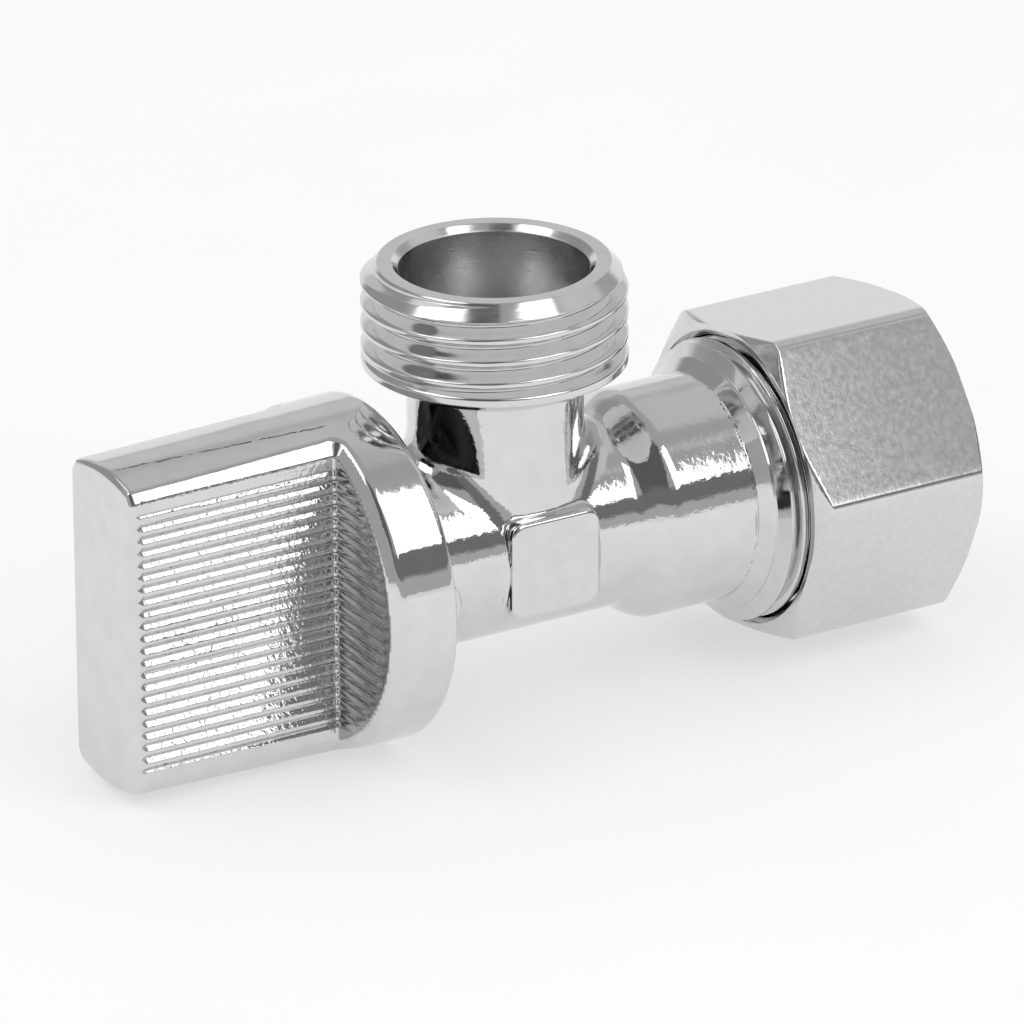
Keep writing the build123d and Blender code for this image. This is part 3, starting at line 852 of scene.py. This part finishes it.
def add_handle():
    """Ribbed handle with its skirt, in one piece."""
    points, quads, normals = surface_net(handle_field, handle_axes())
    finish = handle_finish(points[quads].mean(1))
    # The hollow's finish is near black: painted shade where the hollow lies in shadow.
    finishes = [chrome_handle(), raw_casting(), chrome_ribbed(), chrome_wall()]
    body, slot = "handle_and_spindle", "handle_chrome"
    add_piece("grip_handle", points, quads, body, finishes, "handle", normals, finish)


def add_nut():
    """Hexagon nut with its chamfers, bore and shoulder."""
    corner_r = nut_apothem / cos(radians(30)) + 0.1
    chamfer = (corner_r - nut_chamfer_r) / nut_chamfer_rise
    cone_end_x = nut_shoulder_x + (nut_shoulder_r - nut_hole_r) / seat_slope
    corners = [
        (nut_left_x, nut_mouth_r, 0.06, 0.1),
        (nut_left_x, nut_chamfer_r, 0.08, 0.06),
        (nut_left_x + chamfer, corner_r, 0.05, 0.6),
        (nut_right_x - chamfer, corner_r, 0.05, 0.06),
        (nut_right_x, nut_chamfer_r, 0.08, 0.4),
        (nut_right_x, nut_hole_r, 0.15, 0.5),
        (cone_end_x, nut_hole_r, 0.05, 0.3),
        (nut_shoulder_x, nut_shoulder_r, 0.02, 0.4),
        (nut_shoulder_x, nut_bore_r, 0.02, 0.5),
        (nut_left_x + nut_mouth_depth, nut_bore_r, 0.05, 0.1),
    ]
    points, quads = turned(corners, nut_angles(), 0, nut_radius)
    add_piece("hexagon_nut", points, quads, "nut", [chrome_satin()], "compression_nut")


# Studio

camera_azimuth = radians(31.11)
camera_drop = radians(22.72)
camera_roll = radians(-0.404)
camera_place = (-0.425496, -0.684325, 0.336143)
camera_lens = 387.2
lamp_reach = 0.60
tent_r = 1.6
ambient_level = 0.85

# Lamps: azimuth, elevation, width, height and level
softboxes = {
    "softbox_left": (-77, 56, 0.27, 0.27, 1.6),
    "softbox_right": (160, 46, 0.33, 0.44, 1.6),
}

# Tent: its level, and the cards in it as (azimuth, elevation, half width, half height, soft edge, level)
tent_base = 0.45
tent_cards = (
    (31, 6, 55, 9, 8, 0.92),
    (31, 24, 45, 8, 8, 0.68),
    (60, 50, 34, 16, 18, 0.64),
    (-27, 27, 24, 20, 8, 0.37),
    (108, 42, 20, 12, 8, 0.70),
    (77, 20, 9, 8, 6, 0.45),
    (-30, 57, 20, 8, 6, 0.95),
    (165, 4, 70, 8, 3, 0.50),
    (165, 19, 70, 8.5, 3, 0.20),
    (226, 48, 22, 22, 6, 0.13),
)


def towards(azimuth, elevation):
    """Unit vector by compass angle from +Y towards +X and height above the horizon, in degrees."""
    a, e = radians(azimuth), radians(elevation)
    return Vector((sin(a) * cos(e), cos(a) * cos(e), sin(e)))


def add_camera():
    """Camera from the side that the valve was photographed from."""
    data = bpy.data.cameras.new("camera")
    data.lens = camera_lens
    data.clip_start, data.clip_end = 0.05, 50
    camera = bpy.data.objects.new("camera", data)
    bpy.context.scene.collection.objects.link(camera)
    forward = Vector((
        sin(camera_azimuth) * cos(camera_drop), cos(camera_azimuth) * cos(camera_drop), -sin(camera_drop)))
    level = Vector((cos(camera_azimuth), -sin(camera_azimuth), 0))
    above = level.cross(forward)
    right = level * cos(camera_roll) + above * sin(camera_roll)
    up = above * cos(camera_roll) - level * sin(camera_roll)
    facing = Matrix((right, up, -forward)).transposed().to_4x4()
    camera.matrix_world = Matrix.Translation(camera_place) @ facing
    bpy.context.scene.camera = camera


def add_softbox(name, azimuth, elevation, width, height, level):
    """Rectangular lamp that faces the object. Its level is how bright it looks."""
    lamp = bpy.data.lights.new(name, "AREA")
    lamp.shape = "RECTANGLE"
    lamp.size, lamp.size_y = width, height
    lamp.energy = level * pi * width * height
    softbox = bpy.data.objects.new(name, lamp)
    direction = towards(azimuth, elevation)
    softbox.location = direction * lamp_reach + Vector((crossing_x * MM, 0, 0))
    softbox.rotation_euler = direction.to_track_quat("Z", "Y").to_euler()
    bpy.context.scene.collection.objects.link(softbox)


def background_rays(nodes, links):
    """1 for camera, glossy and transmission rays, and 0 for the rest."""
    path = nodes.new("ShaderNodeLightPath")
    total = path.outputs["Is Camera Ray"]
    for kind in ("Is Glossy Ray", "Is Transmission Ray"):
        total = combined(nodes, links, "MAXIMUM", total, path.outputs[kind])
    return total


def add_world():
    """Plain white surroundings, a little softer as light than as background."""
    world = bpy.data.worlds.new("studio_world")
    bpy.context.scene.world = world
    world.use_nodes = True
    nodes, links = world.node_tree.nodes, world.node_tree.links
    background = nodes["Background"]
    background.inputs["Color"].default_value = (1, 1, 1, 1)
    strength = ranged(nodes, links, background_rays(nodes, links), ambient_level, 1.0, 0, 1)
    links.new(strength, background.inputs["Strength"])


def add_floor():
    """White table. Part of it is plain white for the background rays, and the rest takes the shadow."""
    half = 6.0
    z = cad_box[0].z
    mesh = bpy.data.meshes.new("table")
    corners = [(-half, -half, z), (half, -half, z), (half, half, z), (-half, half, z)]
    mesh.from_pydata(corners, [], [(0, 1, 2, 3)])
    material = bpy.data.materials.new("table_white")
    nodes, links = nodes_of(material)
    shader = nodes["Principled BSDF"]
    shader.inputs["Roughness"].default_value = 0.9
    shader.inputs["Specular IOR Level"].default_value = 0.0
    grain = mapped_noise(nodes, links, 40.0)
    paint = tinted(nodes, links, grain, (0.90, 0.90, 0.90), (0.92, 0.92, 0.92))
    links.new(paint, shader.inputs["Base Color"])
    glow = nodes.new("ShaderNodeEmission")
    white_share = 0.5
    mix = nodes.new("ShaderNodeMixShader")
    share = ranged(nodes, links, background_rays(nodes, links), 0.0, white_share, 0, 1)
    links.new(share, mix.inputs["Fac"])
    links.new(shader.outputs["BSDF"], mix.inputs[1])
    links.new(glow.outputs["Emission"], mix.inputs[2])
    links.new(mix.outputs["Shader"], nodes["Material Output"].inputs["Surface"])
    mesh.materials.append(material)
    table = bpy.data.objects.new("table", mesh)
    bpy.context.scene.collection.objects.link(table)


def tent_level(azimuth, elevation):
    """How bright the tent's cloth is in a direction, with its cards laid over each other in order."""
    level = tent_base
    for middle, height, half_width, half_height, edge, card in tent_cards:
        across = abs((azimuth - middle + 180) % 360 - 180)
        beside = smooth((half_width - across) / edge + 0.5)
        above = smooth((half_height - abs(elevation - height)) / edge + 0.5)
        level += (card - level) * float(beside * above)
    return level


def tent_material():
    """Glowing cloth whose level is kept at the tent's points."""
    material = bpy.data.materials.new("tent_cloth")
    nodes, links = nodes_of(material)
    nodes.remove(nodes["Principled BSDF"])
    level = nodes.new("ShaderNodeAttribute")
    level.attribute_name = "level"
    glow = nodes.new("ShaderNodeEmission")
    links.new(level.outputs["Fac"], glow.inputs["Strength"])
    links.new(glow.outputs["Emission"], nodes["Material Output"].inputs["Surface"])
    return material


def add_tent():
    """Dome of cloth and cards round the set, which only the metal sees."""
    rings, segments = 90, 120
    lowest = 0.5
    points, levels, faces = [], [], []
    for i in range(rings + 1):
        elevation = lowest + (90 - lowest) * i / rings
        for k in range(segments):
            azimuth = 360 * k / segments
            points.append(towards(azimuth, elevation) * tent_r)
            levels.append(tent_level(azimuth, elevation))
    for i in range(rings):
        for k in range(segments):
            a, b = i * segments + k, i * segments + (k + 1) % segments
            faces.append((a, a + segments, b + segments, b))
    mesh = bpy.data.meshes.new("tent")
    mesh.from_pydata(points, [], faces)
    mesh.attributes.new("level", "FLOAT", "POINT").data.foreach_set("value", levels)
    mesh.materials.append(tent_material())
    tent = bpy.data.objects.new("tent", mesh)
    bpy.context.scene.collection.objects.link(tent)
    tent.visible_camera = False
    tent.visible_diffuse = False
    tent.visible_shadow = False


def write_sizes():
    """Imports json and does nothing else."""
    import json


add_camera()
add_world()
add_floor()
add_tent()
for name, values in softboxes.items():
    add_softbox(name, *values)
finish_cad_nodes()
add_casting()
add_outlet_head()
add_inlet_spigot()
add_handle()
add_nut()
bpy.context.scene.view_settings.view_transform = "Standard"
write_sizes()
